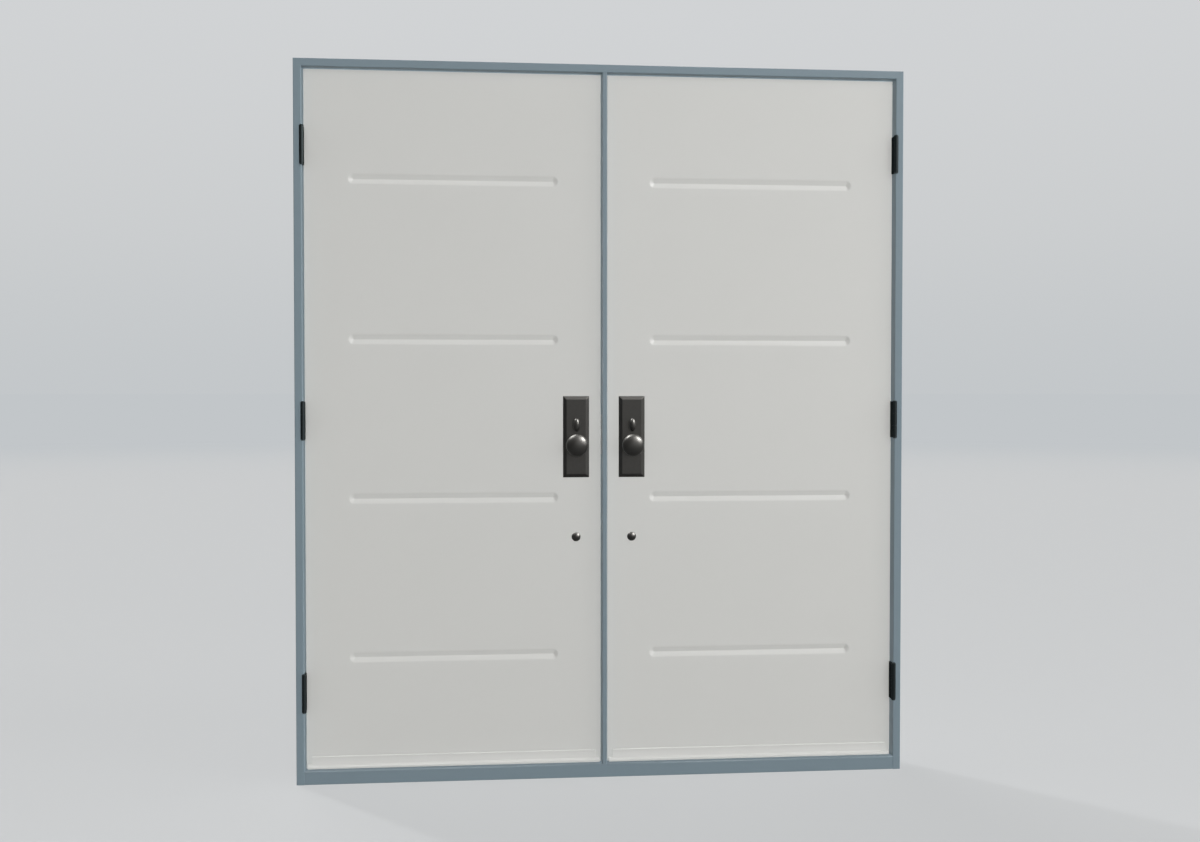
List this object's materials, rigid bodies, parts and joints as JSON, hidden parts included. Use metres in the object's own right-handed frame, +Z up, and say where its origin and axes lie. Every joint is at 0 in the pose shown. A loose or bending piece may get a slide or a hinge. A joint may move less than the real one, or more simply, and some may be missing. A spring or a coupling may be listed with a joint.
{
  "type": "double door",
  "caption": "Pair of steel doors in a welded steel frame with a slim centre mullion, pressed grooves, bevelled lock plates with round knobs and thumb turns, and a drip rail at the foot.",
  "frame": {"origin": "middle of the sill's underside, half way through the frame's depth", "axes": "+Z up; +Y away from the room that the leaves open into; +X to the right, seen from that room"},
  "size_m": [1.8834, 0.1785, 2.2],
  "materials": {
    "frame_paint": "smooth blue-grey factory paint on pressed steel",
    "leaf_paint": "smooth warm light grey factory paint on steel sheet",
    "hinge_steel": "near-black baked finish on steel",
    "bronze": "dark oil-rubbed bronze, satin",
    "bolt_steel": "plain brushed steel",
    "channel_steel": "zinc-coated sheet, hidden inside the leaf",
    "anchor_steel": "welded plate, hidden in the jamb's stop",
    "seal_rubber": "matt black rubber",
    "core_foam": "rigid foam filling"
  },
  "bodies": {
    "frame": {"head": "frame_paint", "sill": "frame_paint", "mullion": "frame_paint", "hinge_pins": "hinge_steel", "anchor_plates": "anchor_steel", "right_jamb": "frame_paint", "right_seal": "seal_rubber", "right_strike": "bolt_steel", "right_bottom_frame_hinge": "hinge_steel", "right_middle_frame_hinge": "hinge_steel", "right_top_frame_hinge": "hinge_steel", "left_jamb": "frame_paint", "left_seal": "seal_rubber", "left_strike": "bolt_steel", "left_bottom_frame_hinge": "hinge_steel", "left_middle_frame_hinge": "hinge_steel", "left_top_frame_hinge": "hinge_steel"},
    "right_leaf": {"right_bottom_leaf_hinge": "hinge_steel", "right_middle_leaf_hinge": "hinge_steel", "right_top_leaf_hinge": "hinge_steel", "right_inner_skin": "leaf_paint", "right_outer_skin": "leaf_paint", "right_channels": "channel_steel", "right_core": "core_foam", "right_drip_rail": "leaf_paint", "right_sweep": "seal_rubber", "right_lock_case": "bolt_steel", "right_lock_front": "bolt_steel", "right_inner_plate": "bronze", "right_outer_plate": "bronze", "right_grip": "bronze", "right_grip_bolt": "bronze", "right_key_cylinder": "bronze"},
    "right_latch": {"right_latch": "bolt_steel"},
    "right_deadbolt": {"right_deadbolt": "bolt_steel"},
    "right_knob": {"right_knob": "bronze"},
    "right_thumb_turn": {"right_thumb_turn": "bronze"},
    "right_thumb_piece": {"right_thumb_piece": "bronze"},
    "left_leaf": {"left_bottom_leaf_hinge": "hinge_steel", "left_middle_leaf_hinge": "hinge_steel", "left_top_leaf_hinge": "hinge_steel", "left_inner_skin": "leaf_paint", "left_outer_skin": "leaf_paint", "left_channels": "channel_steel", "left_core": "core_foam", "left_drip_rail": "leaf_paint", "left_sweep": "seal_rubber", "left_lock_case": "bolt_steel", "left_lock_front": "bolt_steel", "left_inner_plate": "bronze", "left_outer_plate": "bronze", "left_grip": "bronze", "left_grip_bolt": "bronze", "left_key_cylinder": "bronze"},
    "left_latch": {"left_latch": "bolt_steel"},
    "left_deadbolt": {"left_deadbolt": "bolt_steel"},
    "left_knob": {"left_knob": "bronze"},
    "left_thumb_turn": {"left_thumb_turn": "bronze"},
    "left_thumb_piece": {"left_thumb_piece": "bronze"}
  },
  "joints": [
    {"name": "right_leaf_hinge", "type": "hinge", "parent": "frame", "child": "right_leaf", "pos_m": [0.91625, -0.0675, 1.11], "axis": [0, 0, 1], "range_deg": [0, 170]},
    {"name": "right_knob_turn", "type": "hinge", "parent": "right_leaf", "child": "right_knob", "pos_m": [0.08675, -0.033, 1.032], "axis": [0, 1, 0], "range_deg": [-60, 0], "stiffness_Nm_per_rad": 0.38, "springref_deg": -60},
    {"name": "right_latch_slide", "type": "slide", "parent": "right_leaf", "child": "right_latch", "axis": [-1, 0, 0], "range_m": [0, 0.0095]},
    {"name": "right_thumb_turn", "type": "hinge", "parent": "right_leaf", "child": "right_thumb_turn", "pos_m": [0.08675, -0.033, 1.094], "axis": [0, 1, 0], "range_deg": [0, 90]},
    {"name": "right_deadbolt_slide", "type": "slide", "parent": "right_leaf", "child": "right_deadbolt", "axis": [-1, 0, 0], "range_m": [0, 0.0095]},
    {"name": "right_thumb_piece_pivot", "type": "hinge", "parent": "right_leaf", "child": "right_thumb_piece", "pos_m": [0.08675, 0.0156, 1.004], "axis": [1, 0, 0], "range_deg": [0, 15]},
    {"name": "left_leaf_hinge", "type": "hinge", "parent": "frame", "child": "left_leaf", "pos_m": [-0.91625, -0.0675, 1.11], "axis": [0, 0, -1], "range_deg": [0, 170]},
    {"name": "left_knob_turn", "type": "hinge", "parent": "left_leaf", "child": "left_knob", "pos_m": [-0.08675, -0.033, 1.032], "axis": [0, -1, 0], "range_deg": [-60, 0], "stiffness_Nm_per_rad": 0.38, "springref_deg": -60},
    {"name": "left_latch_slide", "type": "slide", "parent": "left_leaf", "child": "left_latch", "axis": [1, 0, 0], "range_m": [0, 0.0095]},
    {"name": "left_thumb_turn", "type": "hinge", "parent": "left_leaf", "child": "left_thumb_turn", "pos_m": [-0.08675, -0.033, 1.094], "axis": [0, -1, 0], "range_deg": [0, 90]},
    {"name": "left_deadbolt_slide", "type": "slide", "parent": "left_leaf", "child": "left_deadbolt", "axis": [1, 0, 0], "range_m": [0, 0.0095]},
    {"name": "left_thumb_piece_pivot", "type": "hinge", "parent": "left_leaf", "child": "left_thumb_piece", "pos_m": [-0.08675, 0.0156, 1.004], "axis": [1, 0, 0], "range_deg": [0, 15]}
  ],
  "couplings": [
    {"joint": "right_latch_slide", "follows": "right_knob_turn", "m_per_rad": -0.0090718},
    {"joint": "right_deadbolt_slide", "follows": "right_thumb_turn", "m_per_rad": 0.0060478},
    {"joint": "right_thumb_piece_pivot", "follows": "right_knob_turn", "ratio": -0.25},
    {"joint": "left_latch_slide", "follows": "left_knob_turn", "m_per_rad": -0.0090718},
    {"joint": "left_deadbolt_slide", "follows": "left_thumb_turn", "m_per_rad": 0.0060478},
    {"joint": "left_thumb_piece_pivot", "follows": "left_knob_turn", "ratio": -0.25}
  ]
}
